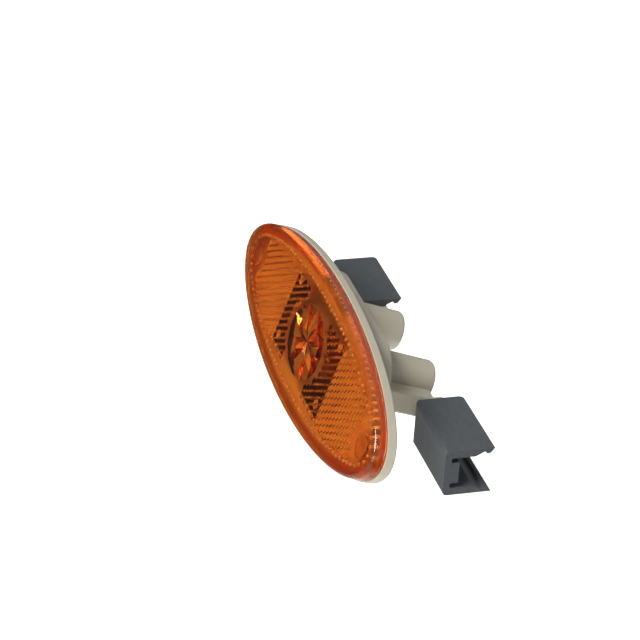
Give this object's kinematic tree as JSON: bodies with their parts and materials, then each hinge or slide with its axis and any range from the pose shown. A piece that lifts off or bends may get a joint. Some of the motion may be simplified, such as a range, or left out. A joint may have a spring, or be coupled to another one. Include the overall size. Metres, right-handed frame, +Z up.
{
  "type": "side marker lamp",
  "caption": "Oval amber side marker lamp with a reflex prism lens, an off-white housing with round plug sockets and grey sprung clips behind it.",
  "frame": {"origin": "centre of the panel plane, where the rim's rear face seats", "axes": "+X along the lamp, +Y backward through the panel, away from the lens, +Z up"},
  "size_m": [0.1206, 0.039, 0.036],
  "materials": {
    "amber_lens": "polished moulded acrylic",
    "housing_white": "moulded, satin",
    "clip_grey": "moulded, satin",
    "board": "solder resist",
    "led": "moulded with a clear cup",
    "chip": "glazed",
    "capacitor": "fired ceramic",
    "moulded_diode": "moulded",
    "contact": "tinned"
  },
  "bodies": {
    "root": {"lens": "amber_lens", "housing": "housing_white", "arm_left": "housing_white", "arm_right": "housing_white", "clip_left": "clip_grey", "clip_right": "clip_grey", "circuit_board": "board", "led_1": "led", "led_2": "led", "led_3": "led", "led_4": "led", "resistor_1": "chip", "resistor_2": "chip", "reverse_diode": "moulded_diode", "filter_capacitor": "capacitor", "surge_suppressor": "moulded_diode", "contact_blade_left": "contact", "contact_blade_right": "contact"}
  },
  "joints": []
}
